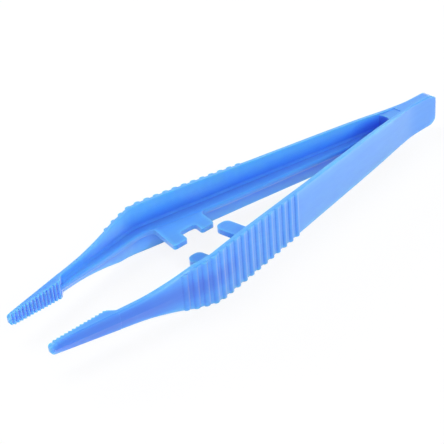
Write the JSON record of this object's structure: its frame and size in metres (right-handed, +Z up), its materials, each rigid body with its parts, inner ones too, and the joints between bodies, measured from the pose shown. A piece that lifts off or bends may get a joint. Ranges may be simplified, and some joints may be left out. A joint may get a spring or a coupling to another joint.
{
  "type": "tweezers",
  "caption": "One-piece moulded plastic tweezers with splayed, ribbed-grip arms, serrated flat jaws, and a forked plate with guide tongues between the arms.",
  "frame": {"origin": "middle of the overall box, at the level of the surface that the tweezers lie on", "axes": "+X from the heel to the tips, +Y across the two arms towards the arm with the tongues, +Z up, across the arms' width"},
  "size_m": [0.145, 0.0334, 0.0144],
  "materials": {
    "blue_plastic": "satin as moulded, slightly translucent"
  },
  "bodies": {
    "root": {"tweezers": "blue_plastic"}
  },
  "joints": []
}
